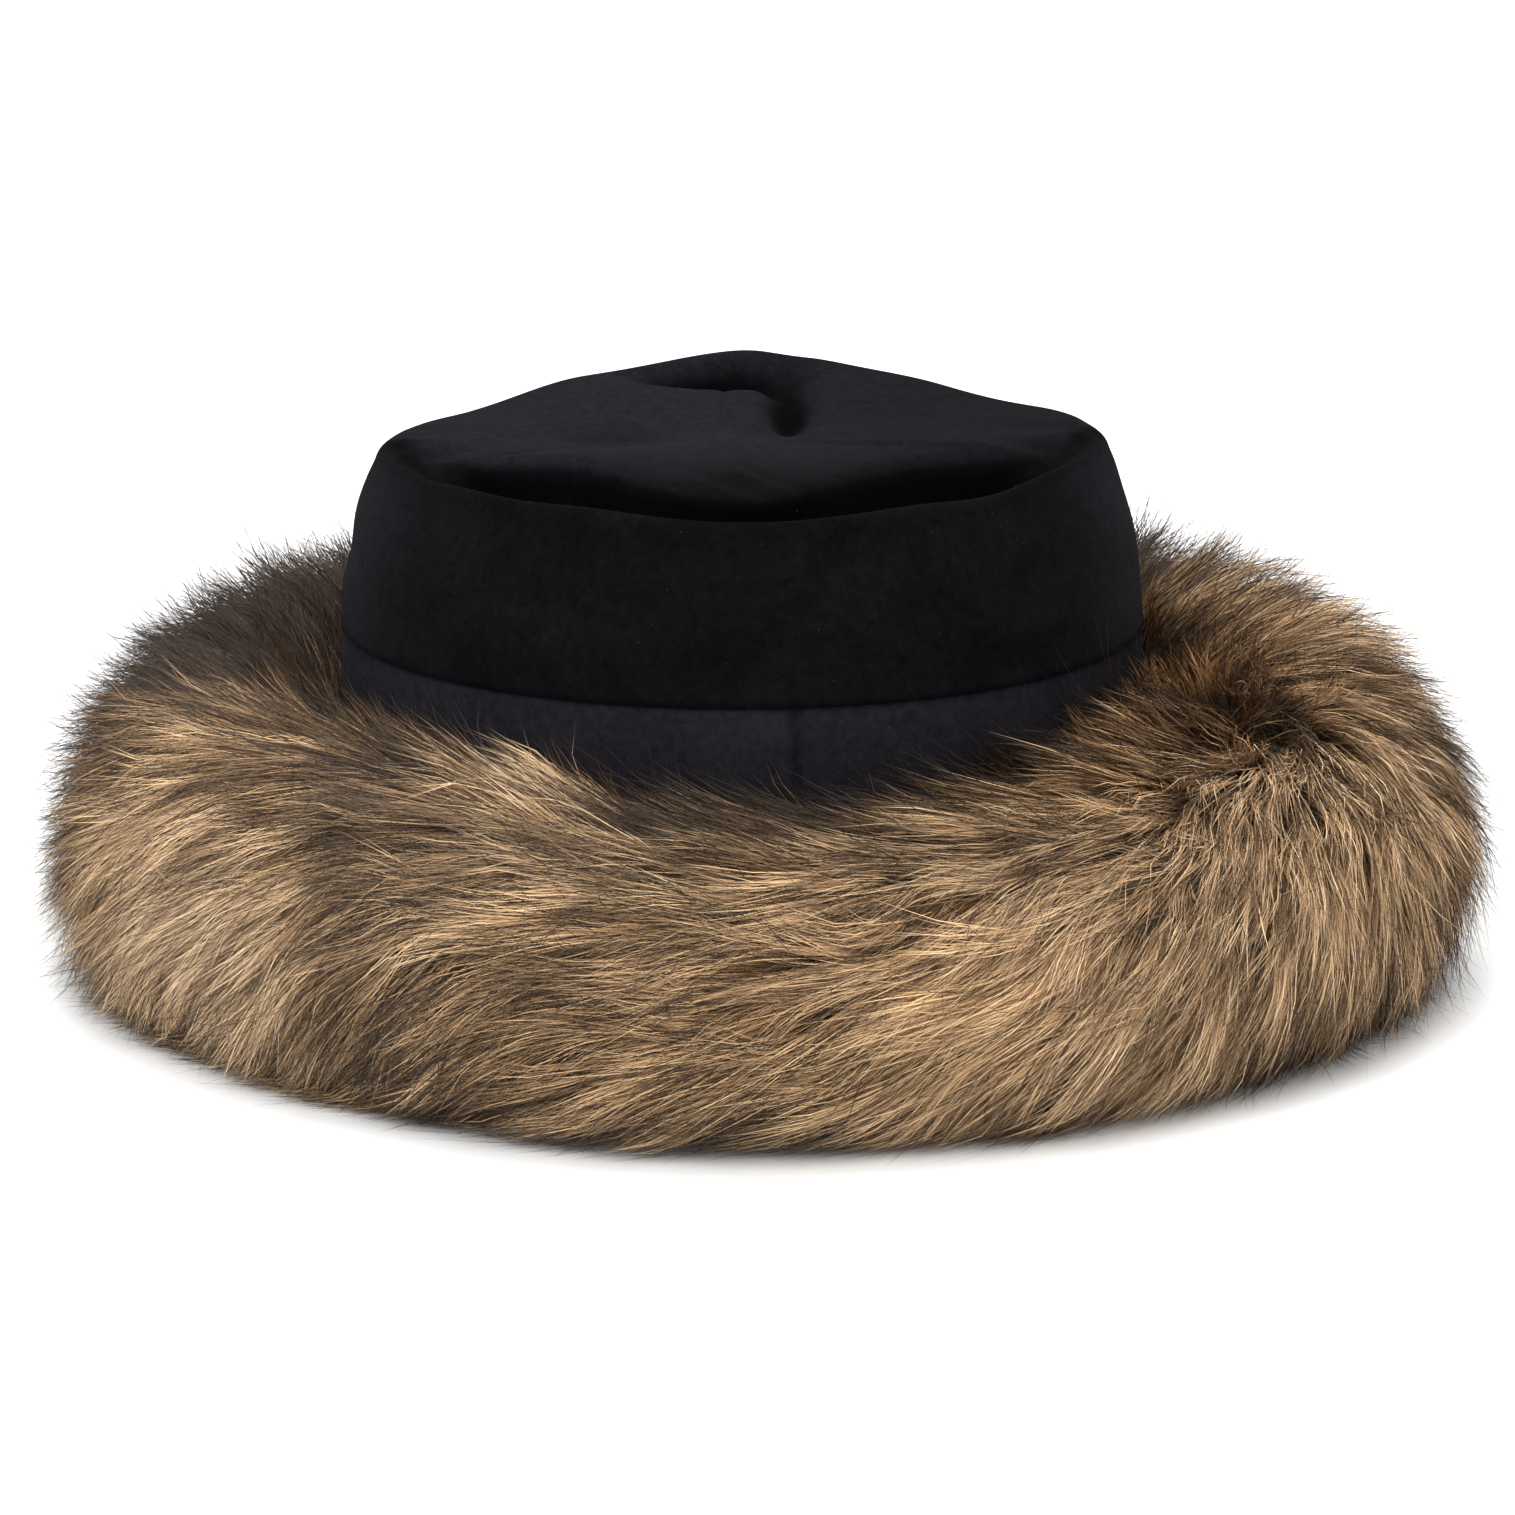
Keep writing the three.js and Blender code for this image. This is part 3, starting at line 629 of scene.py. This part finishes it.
def lay_out_uv(piece, along, values, hairs, size):
    """A map where a hair's place is its colour: its tone and warmth across, and root to tip upwards."""
    sway = np.tile(np.concatenate([np.tile([-1.0, 1.0], (size - 1) // 2), [0.0]]), hairs)
    tone = np.repeat(values["tone"], size)
    warmth = np.repeat(values["warmth"], size)
    u = (np.round(warmth * (WARMTHS - 1)) + 0.08 + 0.84 * tone + 0.01 * sway) / WARMTHS
    layer = piece.data.uv_layers.new(name="OFBake")
    loops = np.zeros(len(piece.data.loops), np.int32)
    piece.data.loops.foreach_get("vertex_index", loops)
    v = 0.02 + 0.96 * along
    layer.data.foreach_set("uv", np.stack([u[loops], v[loops]], -1).ravel().astype(np.float32))


def beside_guides(turn, run, guide, guides, look):
    """Hairs from those roots, each laid beside its guide hair, and the ring's normals along them."""
    share = np.linspace(0, 1, STATIONS)[None]
    drift = 1 - (look["clump"] * guides["gather"][guide])[:, None] * share**1.4
    hairs = len(turn)
    apart = bearing_gap(turn, guides["turns"][guide, 0])
    swing = rng.normal(0, look["swing"], (hairs, 1)) * share**2
    turns = guides["turns"][guide] + apart[:, None] * drift + swing
    runs = guides["runs"][guide] + (run - guides["runs"][guide, 0])[:, None] * drift
    runs = runs + rng.normal(0, look["swing"], (hairs, 1)) * share**2
    points, _, _, normals = fur_frame(turns, runs)
    lift = guides["lift"][guide] + rng.normal(0, look["ruffle"], hairs) + look["proud"]
    rise = 1 - (1 - share) ** 2.2
    flick = guides["flick"][guide] + look["flick"] * rng.uniform(0, 1, hairs)
    height = lerp(-GROUND_DEPTH, lift[:, None], rise) + flick[:, None] * share**3
    return points + normals * height[..., None], normals


def stand_off(spine, normals, guide, guides):
    """The hairs where they go straight on, off the ring, instead of bending over it."""
    share = np.linspace(0, 1, STATIONS)[None]
    standing = guides["standing"][guide]
    amount = (standing * rng.uniform(0.5, 1.5, len(spine)))[:, None, None] * share[..., None] ** 1.5
    onward = unit(unit(spine[:, 2] - spine[:, 0]) + standing[:, None] * normals[:, 0])
    onward = onward[:, None] * (share * guides["length"][guide][:, None])[..., None]
    spine = lerp(spine, spine[:, :1] + onward, amount)
    lowest = 0.5 + 2.0 * rng.uniform(0, 1, (len(spine), 1))
    spine[..., 2] = np.maximum(spine[..., 2], lowest)
    return hold_in(keep_off_band(spine))


def sideways(spine, normals):
    """Each ribbon's sideways way: flat on the fur, with a random twist."""
    forward = unit(np.gradient(spine, axis=1))
    across = unit(np.cross(forward, normals))
    twist = rng.normal(0, radians(40), (len(spine), 1, 1))
    return across * np.cos(twist) + unit(np.cross(across, forward)) * np.sin(twist)


def grow(name, guides, count, middle, spread, look):
    """Hairs round guide hairs, as far as spread either side of the middle bearing. look holds their sizes."""
    turn, run = scatter(int(count * look["spare"]), *ROOTS)
    kept = np.abs(bearing_gap(turn, radians(middle))) < radians(spread)
    turn, run = turn[kept][:count], run[kept][:count]
    guide = nearest_guide(turn, run, guides)
    hairs = len(turn)
    spine, normals = beside_guides(turn, run, guide, guides, look)
    spine = stand_off(spine, normals, guide, guides)
    spine = shorten(spine, rng.uniform(look["shortest"], 1, hairs), CORNERS)
    across = sideways(spine, normals[:, 1:])
    width = look["half_width"] * rng.uniform(0.7, 1.2, (hairs, 1)) * np.array(TAPER)[None]
    tone = guides["tone"][guide] + rng.normal(0, 0.11, hairs) + look["tone"]
    warmth = np.clip(guides["warmth"][guide], 0, 1)
    values = {
        "tone": np.clip(tone, 0, 1),
        "warmth": np.round(warmth * (WARMTHS - 1)) / (WARMTHS - 1),
    }
    return ribbons(name, spine, across, width, values)


def shorten(spine, share, corners):
    """Each hair cut to a share of its length, with so many points spread evenly along it."""
    stations = spine.shape[1]
    place = np.linspace(0, 1, corners)[None] * share[:, None] * (stations - 1)
    low = np.minimum(place.astype(int), stations - 2)
    part = (place - low)[..., None]
    rows = np.arange(len(spine))[:, None]
    return lerp(spine[rows, low], spine[rows, low + 1], part)


def keep_off_band(spine):
    """Pushes what would pass through the band or the crown's lower edge out in front of it."""
    across = spine[..., 0] / (FOOT_HALF_WIDTH + CLEARANCE)
    along = spine[..., 1] / (FOOT_HALF_DEPTH + CLEARANCE)
    room = np.hypot(across, along)
    band_shows_from = 0.93 * FUR_HEIGHT
    high = spine[..., 2] > band_shows_from
    push = np.where(high & (room < 1), 1 / np.maximum(room, 0.2), 1)
    spine = spine.copy()
    spine[..., :2] *= push[..., None]
    return spine


def hold_in(spine):
    """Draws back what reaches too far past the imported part."""
    low, high = (np.array(corner)[:2] / MM - AXIS[:2] for corner in cad_box)
    room = np.where(spine[..., :2] > 0, high, -low) + OUTREACH
    over = np.max(np.abs(spine[..., :2]) / room, axis=-1)
    spine[..., :2] /= np.maximum(over, 1)[..., None]
    return spine


def nearest_guide(turn, run, guides):
    """The guide hair whose root is nearest to each root."""
    tree = kdtree.KDTree(len(guides["root"]))
    for i, root in enumerate(guides["root"]):
        tree.insert(root, i)
    tree.balance()
    return np.array([tree.find(root)[1] for root in fur_surface(turn, run)])


def build_guides():
    """The locks of the pile: a middle hair for each, its lift off the ring, and its colour."""
    waves, tone_waves, warm_waves = ripples(14, 4, 18), ripples(16, 4, 22), ripples(8, 1, 5)
    lift_waves = ripples(24, 10, 60)
    turn, run = scatter(GUIDES, *ROOTS)
    length = GUIDE_LENGTH * rng.uniform(0.7, 1.25, len(turn)) * lerp(0.55, 1, smoothstep(run, 0, 0.22))
    stray = rng.normal(0, radians(10), len(turn))
    turns, runs = comb(turn, run, length, stray, waves, STATIONS - 1)
    behind = 0.5 - 0.5 * np.cos(turn)
    edge = smoothstep(-run, -0.3, -0.05)
    front = np.maximum(np.cos(turn), 0) ** 4
    tone = 0.74 + 0.21 * waving(turn, 2 * run, tone_waves) + rng.normal(0, 0.08, len(turn))
    # painted shade: darker at the back; by the band partly painted shade under the crown and partly darker
    # hairs
    tone = tone - 0.36 * behind - 0.3 * edge + patch_sum(turn, run, "tone")
    ruffled = lerp(2.6, 4.6, behind) * waving(turn, run, lift_waves) + rng.normal(0, 1.5, len(turn))
    warmth = 0.62 + 0.22 * waving(turn, 3 * run, warm_waves) - 0.2 * behind
    return {
        "root": fur_surface(turn, run),
        "turns": turns,
        "runs": runs,
        "lift": ruffled - 1.0 + edge * (1.5 - 5.0 * front) + patch_sum(turn, run, "lift"),
        "length": length,
        "flick": lerp(6, 18, behind) * rng.uniform(0, 1, len(turn)) ** 2.5,
        "standing": round_hat(turn, STANDING) * rng.uniform(0.4, 1.5, len(turn)),
        "gather": rng.uniform(0.3, 1, len(turn)),
        "tone": tone,
        "warmth": warmth,
    }


def build_fur():
    """The pile in four quarters, and the long dark guard hairs all round."""
    guides = build_guides()
    quarters = {"fur_front": 0, "fur_right": 90, "fur_back": 180, "fur_left": 270}
    pieces = [grow(name, guides, PILE_HAIRS, middle, 45, PILE) for name, middle in quarters.items()]
    return pieces + [grow("fur_guard_hairs", guides, GUARD_HAIRS, 0, 360, GUARD)]


# Materials
def new_material(name):
    material = bpy.data.materials.new(name)
    material.use_nodes = True
    return material, material.node_tree.nodes, material.node_tree.links


def add_node(nodes, kind, **inputs):
    node = nodes.new(kind)
    for key, value in inputs.items():
        node.inputs[key.replace("_", " ")].default_value = value
    return node


def ramp(nodes, stops):
    """A colour ramp from places and colours, or from places and single values."""
    node = nodes.new("ShaderNodeValToRGB")
    elements = node.color_ramp.elements
    while len(elements) < len(stops):
        elements.new(0.5)
    for element, (place, colour) in zip(elements, sorted(stops)):
        element.position = place
        element.color = (*colour, 1) if isinstance(colour, tuple) else (colour, colour, colour, 1)
    return node


def mix_colours(nodes, links, factor, first, second, way="MIX"):
    """A colour mix; each side is a socket or a colour, and factor a socket or a number."""
    node = nodes.new("ShaderNodeMix")
    node.data_type, node.blend_type = "RGBA", way
    for socket, value in ((node.inputs[0], factor), (node.inputs[6], first), (node.inputs[7], second)):
        if isinstance(value, bpy.types.NodeSocket):
            links.new(value, socket)
        else:
            socket.default_value = (*value, 1) if isinstance(value, tuple) else value
    return node.outputs[2]


def noise(nodes, links, place, **inputs):
    """A noise pattern that lies still on the object."""
    node = add_node(nodes, "ShaderNodeTexNoise", **inputs)
    links.new(place, node.inputs["Vector"])
    return node.outputs["Fac"]


def stored_value(nodes, name):
    """A value that write_values stored on the mesh."""
    node = nodes.new("ShaderNodeAttribute")
    node.attribute_name = name
    return node.outputs["Fac"]


def shaded(nodes, links, value, stops):
    """The colours of a ramp at a pattern's values."""
    node = ramp(nodes, stops)
    links.new(value, node.inputs[0])
    return node.outputs[0]


def bump(nodes, links, height, strength, distance, under=None):
    """Fine relief from a pattern, over another relief if there is one."""
    node = add_node(nodes, "ShaderNodeBump", Strength=strength, Distance=distance)
    links.new(height, node.inputs["Height"])
    if under is not None:
        links.new(under, node.inputs["Normal"])
    return node.outputs[0]


def lint_flecks(nodes, links, place):
    """Where flecks of lint show: small dots, and only in a few places."""
    dots = add_node(nodes, "ShaderNodeTexVoronoi", Scale=480, Randomness=1)
    links.new(place, dots.inputs["Vector"])
    flecks = shaded(nodes, links, dots.outputs["Distance"], [(0.04, 1.0), (0.09, 0.0)])
    seldom = noise(nodes, links, place, Scale=150, Detail=1)
    seldom = shaded(nodes, links, seldom, [(0.5, 0.0), (0.62, 0.6)])
    return mix_colours(nodes, links, 1.0, flecks, seldom, "MULTIPLY")


def velvet(name, crushed_and_shaded, smooth, lint):
    """Cotton velvet: a dull dark pile with random flattened and brushed patches, painted light and shade from
    a value on the mesh, fine grain and a little lint.
    """
    material, nodes, links = new_material(name)
    shader = nodes["Principled BSDF"]
    place = nodes.new("ShaderNodeTexCoord").outputs["Object"]
    brushed = noise(nodes, links, place, Scale=34, Detail=5, Roughness=0.62, Distortion=0.9)
    grain = noise(nodes, links, place, Scale=1900, Detail=3, Roughness=0.7)
    weave = noise(nodes, links, place, Scale=420, Detail=4, Roughness=0.75)
    # painted light and shade on the crown, or the band's level, which picks between the darkest and the
    # smooth colour
    painted_light_and_tone = stored_value(nodes, "painted_light_and_tone")
    patches = shaded(nodes, links, brushed, [(0.38, 0.3), (0.62, 1.0)])
    even = mix_colours(nodes, links, painted_light_and_tone, patches, (1.0, 1.0, 1.0))
    patches_and_painted_light = add_node(nodes, "ShaderNodeMath")
    patches_and_painted_light.operation = "MULTIPLY"
    links.new(even, patches_and_painted_light.inputs[0])
    links.new(painted_light_and_tone, patches_and_painted_light.inputs[1])
    colour = mix_colours(nodes, links, patches_and_painted_light.outputs[0], crushed_and_shaded, smooth)
    speckle = shaded(nodes, links, weave, [(0.25, 0.55), (0.75, 1.35)])
    colour = mix_colours(nodes, links, 1.0, colour, speckle, "MULTIPLY")
    colour = mix_colours(nodes, links, lint_flecks(nodes, links, place), colour, lint)
    links.new(colour, shader.inputs["Base Color"])
    rough = shaded(nodes, links, brushed, [(0.3, 0.78), (0.7, 0.96)])
    links.new(rough, shader.inputs["Roughness"])
    fine = bump(nodes, links, grain, 0.5, 0.0004)
    links.new(bump(nodes, links, weave, 0.3, 0.0008, fine), shader.inputs["Normal"])
    shader.inputs["Specular IOR Level"].default_value = 0.01
    shader.inputs["Sheen Weight"].default_value = 0.008
    shader.inputs["Sheen Roughness"].default_value = 0.3
    shader.inputs["Sheen Tint"].default_value = (0.72, 0.7, 0.86, 1)
    return material


# The pile's colours from its darkest hairs to its lightest, for the coolest and the warmest of them
COOL_PILE = [(0.0, (0.032, 0.021, 0.014)), (0.35, (0.17, 0.112, 0.07)),
             (0.7, (0.44, 0.29, 0.165)), (1.0, (0.7, 0.52, 0.34))]
WARM_PILE = [(0.0, (0.036, 0.02, 0.011)), (0.35, (0.24, 0.135, 0.065)),
             (0.7, (0.58, 0.355, 0.17)), (1.0, (0.86, 0.58, 0.31))]
PILE_TIPS = (0.026, 0.016, 0.01)


def pile_material():
    """Imitation fur: golden to grey-brown lengths and near-black tips, longer on dark hairs, with the roots
    darkened deep in the pile as painted shade.
    """
    material, nodes, links = new_material("long_pile_fur")
    shader = nodes["Principled BSDF"]
    tone, warmth, along = (stored_value(nodes, name) for name in ("tone", "warmth", "along"))
    cool = shaded(nodes, links, tone, COOL_PILE)
    warm = shaded(nodes, links, tone, WARM_PILE)
    length_colour = mix_colours(nodes, links, warmth, cool, warm)
    # painted shade: darker towards the roots, deep in the pile
    root_shade = shaded(nodes, links, along, [(0.1, 0.5), (0.38, 1.0)])
    colour = mix_colours(nodes, links, 1.0, length_colour, root_shade, "MULTIPLY")
    later = add_node(nodes, "ShaderNodeMath")
    later.operation = "MULTIPLY_ADD"
    links.new(tone, later.inputs[0])
    later.inputs[1].default_value = -0.55
    links.new(along, later.inputs[2])
    tipped = shaded(nodes, links, later.outputs[0], [(0.24, 0.0), (0.6, 0.94)])
    colour = mix_colours(nodes, links, tipped, colour, PILE_TIPS)
    links.new(colour, shader.inputs["Base Color"])
    shader.inputs["Roughness"].default_value = 0.5
    shader.inputs["Specular IOR Level"].default_value = 0.18
    return material


def backing_shade_material():
    """The fur's backing: knitted cloth coloured dark brown as painted shade, seen only between the hairs."""
    material, nodes, links = new_material("fur_backing_painted_shade")
    shader = nodes["Principled BSDF"]
    place = nodes.new("ShaderNodeTexCoord").outputs["Object"]
    tufts = noise(nodes, links, place, Scale=260, Detail=4)
    shades = shaded(nodes, links, tufts, [(0.3, (0.03, 0.019, 0.011)), (0.7, (0.12, 0.075, 0.038))])
    links.new(shades, shader.inputs["Base Color"])
    links.new(bump(nodes, links, tufts, 0.6, 0.002), shader.inputs["Normal"])
    shader.inputs["Roughness"].default_value = 0.95
    return material


def pale_floor():
    """A matt, nearly white floor."""
    material, nodes, links = new_material("pale_floor")
    shader = nodes["Principled BSDF"]
    place = nodes.new("ShaderNodeTexCoord").outputs["Object"]
    grain = noise(nodes, links, place, Scale=3, Detail=2)
    shades = shaded(nodes, links, grain, [(0.2, (0.86, 0.86, 0.86)), (0.8, (0.89, 0.89, 0.885))])
    links.new(shades, shader.inputs["Base Color"])
    shader.inputs["Roughness"].default_value = 0.9
    return material


# Each velvet's darkest colour serves flattened patches and painted shade, and its smooth colour brushed pile
# and painted light.
CROWN_VELVET = {
    "crushed_and_shaded": (0.0004, 0.0004, 0.0005),
    "smooth": (0.0108, 0.0104, 0.0128),
    "lint": (0.04, 0.038, 0.04),
}
BAND_VELVET = {
    "crushed_and_shaded": (0.005, 0.0049, 0.0066),
    "smooth": (0.022, 0.0214, 0.028),
    "lint": (0.08, 0.078, 0.08),
}


# Setting
CAMERA_HEIGHT_ANGLE = 15.0  # degrees above the surface, from the photo
CAMERA_DISTANCE = 1400.0
FOCAL_PIXELS = 6174.0  # the focal length in the frame's pixels
FRAME_PIXELS = 1515.0
TARGET_PIXEL = (742.0, 970.0)  # where the hat's axis meets the surface
FLOOR_HALF_SIZE = 9000.0


def add_camera():
    """The camera at the photo's viewing angle, aimed so that the hat's axis falls on its pixel."""
    data = bpy.data.cameras.new("camera")
    camera = bpy.data.objects.new("camera", data)
    bpy.context.scene.collection.objects.link(camera)
    data.sensor_width = 36
    data.lens = data.sensor_width * FOCAL_PIXELS / FRAME_PIXELS
    data.clip_end = 50
    rise = radians(CAMERA_HEIGHT_ANGLE)
    camera.location = (AXIS + CAMERA_DISTANCE * np.array([0, -cos(rise), sin(rise)])) * MM
    middle = FRAME_PIXELS / 2
    pitch = rise - atan2(TARGET_PIXEL[1] - middle, FOCAL_PIXELS)
    yaw = atan2(middle - TARGET_PIXEL[0], FOCAL_PIXELS)
    camera.rotation_euler = (pi / 2 - pitch, 0, -yaw)
    bpy.context.scene.camera = camera


def add_light(name, bearing, rise, distance, size, power):
    """A soft square lamp that looks at the hat from a bearing and an angle above the surface."""
    data = bpy.data.lights.new(name, "AREA")
    data.shape, data.size, data.energy = "SQUARE", size, power
    lamp = bpy.data.objects.new(name, data)
    bpy.context.scene.collection.objects.link(lamp)
    turn, tilt = radians(bearing), radians(rise)
    place = np.array([sin(turn) * cos(tilt), -cos(turn) * cos(tilt), sin(tilt)]) * distance
    lamp.location = place + AXIS * MM
    lamp.rotation_euler = (pi / 2 - tilt, 0, turn)


def add_setting():
    """Camera, two soft lamps, an even white surround and the floor."""
    add_camera()
    add_light("key", bearing=-24, rise=50, distance=2.2, size=1.6, power=36)
    add_light("top", bearing=170, rise=72, distance=2.0, size=1.8, power=40)
    world = bpy.data.worlds.new("studio")
    world.use_nodes = True
    world.node_tree.nodes["Background"].inputs[0].default_value = (1, 1, 1, 1)
    world.node_tree.nodes["Background"].inputs[1].default_value = 0.95
    bpy.context.scene.world = world
    bpy.context.scene.view_settings.view_transform = "Standard"
    half = FLOOR_HALF_SIZE
    corners = np.array([[-half, -half, 0], [half, -half, 0], [half, half, 0], [-half, half, 0]])
    floor = mesh_from("floor", corners, [np.array([[0, 1, 2, 3]])], smooth=False)
    floor.data.materials.append(pale_floor())


def attach(piece, node, material):
    """Dresses the part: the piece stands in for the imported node."""
    piece.data.materials.append(material)
    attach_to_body(piece, "root")
    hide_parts(node)


attach(build_crown(), "crown", velvet("crown_velvet", **CROWN_VELVET))
attach(build_band(), "head_band", velvet("band_velvet", **BAND_VELVET))
# the backing, dark brown as painted shade between the hairs
backing = build_ground()
attach(backing, "fur_ring", backing_shade_material())
pile = pile_material()
for fur_piece in build_fur():
    attach(fur_piece, "fur_ring", pile)
add_setting()
